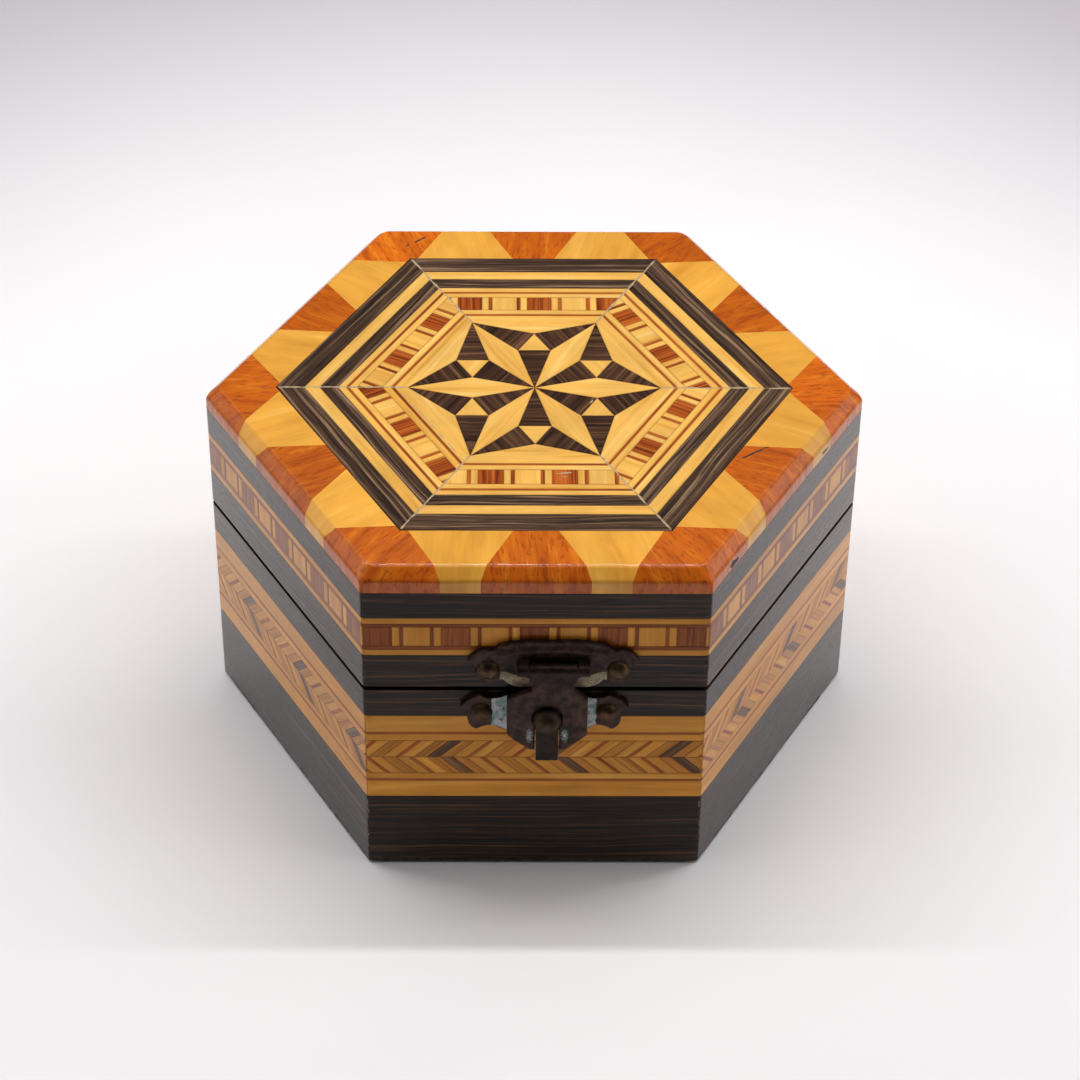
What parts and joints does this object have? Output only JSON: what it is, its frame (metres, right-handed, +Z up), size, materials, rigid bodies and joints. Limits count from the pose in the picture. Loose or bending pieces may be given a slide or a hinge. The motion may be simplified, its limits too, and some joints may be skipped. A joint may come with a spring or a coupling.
{
  "type": "inlaid wooden box",
  "caption": "Hexagonal wooden box with inlaid star lid, herringbone and block marquetry bands, rear hinges and a dark bronze hasp at the front.",
  "frame": {"origin": "centre of the underside, where the box rests", "axes": "+Z up, -Y out of the face with the hasp, +X through a corner of the hexagon, to the right seen from the hasp"},
  "size_m": [0.1, 0.0947, 0.0582],
  "materials": {
    "felt": "napped, matt",
    "velvet": "short pile",
    "core_wood": "plain, sanded",
    "wenge": "glossy lacquer, dark streaked grain",
    "lemonwood": "glossy lacquer, fine grain",
    "golden_wood": "glossy lacquer, fine grain",
    "red_wood": "glossy lacquer, striped grain",
    "brown_wood": "glossy lacquer, fine grain",
    "rim_red": "glossy lacquer, open grain",
    "rim_yellow": "glossy lacquer, fine grain",
    "bronze": "dark patina with pale green bloom",
    "brass": "aged, worn bright on the heads"
  },
  "bodies": {
    "base": {"base_felt": "felt", "floor_lining": "velvet", "base_wall_lining": "velvet", "floor_panel": "core_wood", "base_wall_back": "core_wood", "base_wall_back_left": "core_wood", "base_wall_front_left": "core_wood", "base_wall_front": "core_wood", "base_wall_front_right": "core_wood", "base_wall_back_right": "core_wood", "base_lower_wenge_band": "wenge", "base_upper_wenge_band": "wenge", "herringbone_wenge_slips": "wenge", "base_lower_lemon_bands": "lemonwood", "base_upper_lemon_bands": "lemonwood", "herringbone_lemon_slips": "lemonwood", "herringbone_golden_slips": "golden_wood", "base_red_lines": "red_wood", "herringbone_red_slips": "red_wood", "catch_plate": "bronze", "catch_nails": "brass", "hinge_base_leaves": "brass", "hinge_pins": "brass", "hinge_base_nails": "brass"},
    "lid": {"lid_wall_back": "core_wood", "lid_wall_back_left": "core_wood", "lid_wall_front_left": "core_wood", "lid_wall_front": "core_wood", "lid_wall_front_right": "core_wood", "lid_wall_back_right": "core_wood", "lid_top_panel": "core_wood", "lid_top_lining": "velvet", "lid_wall_lining": "velvet", "lid_lower_wenge_band": "wenge", "lid_lemon_stringing": "lemonwood", "lid_upper_wenge_band": "wenge", "lid_strip_brown_pieces": "brown_wood", "lid_strip_lemon_pieces": "lemonwood", "lid_strip_borders": "brown_wood", "top_outer_wenge_band": "wenge", "top_outer_lemon_band": "lemonwood", "top_inner_wenge_band": "wenge", "top_lemon_stringing": "lemonwood", "top_red_lines": "red_wood", "top_strip_red_pieces": "red_wood", "top_strip_lemon_pieces": "lemonwood", "star_lemon_rays": "lemonwood", "star_wenge_triangles": "wenge", "star_lemon_eyes": "lemonwood", "star_field_pieces": "lemonwood", "rim_red_blocks": "rim_red", "rim_yellow_blocks": "rim_yellow", "hinge_lid_leaves": "brass", "hinge_lid_nails": "brass", "hasp_plate": "bronze", "hasp_nails": "brass", "hasp_pin": "brass"},
    "hasp": {"hasp_tongue": "bronze"},
    "catch": {"catch_knob_and_tail": "bronze"}
  },
  "joints": [
    {"name": "lid_hinge", "type": "hinge", "parent": "base", "child": "lid", "pos_m": [0, 0.045, 0.03605], "axis": [-1, 0, 0], "range_deg": [0, 110]},
    {"name": "hasp_hinge", "type": "hinge", "parent": "lid", "child": "hasp", "pos_m": [0.0026, -0.04525, 0.0414], "axis": [-1, 0, 0], "range_deg": [0, 170]},
    {"name": "catch_turn", "type": "hinge", "parent": "base", "child": "catch", "pos_m": [0.00175, -0.0464, 0.0327], "axis": [0, -1, 0], "range_deg": [-90, 90]}
  ]
}
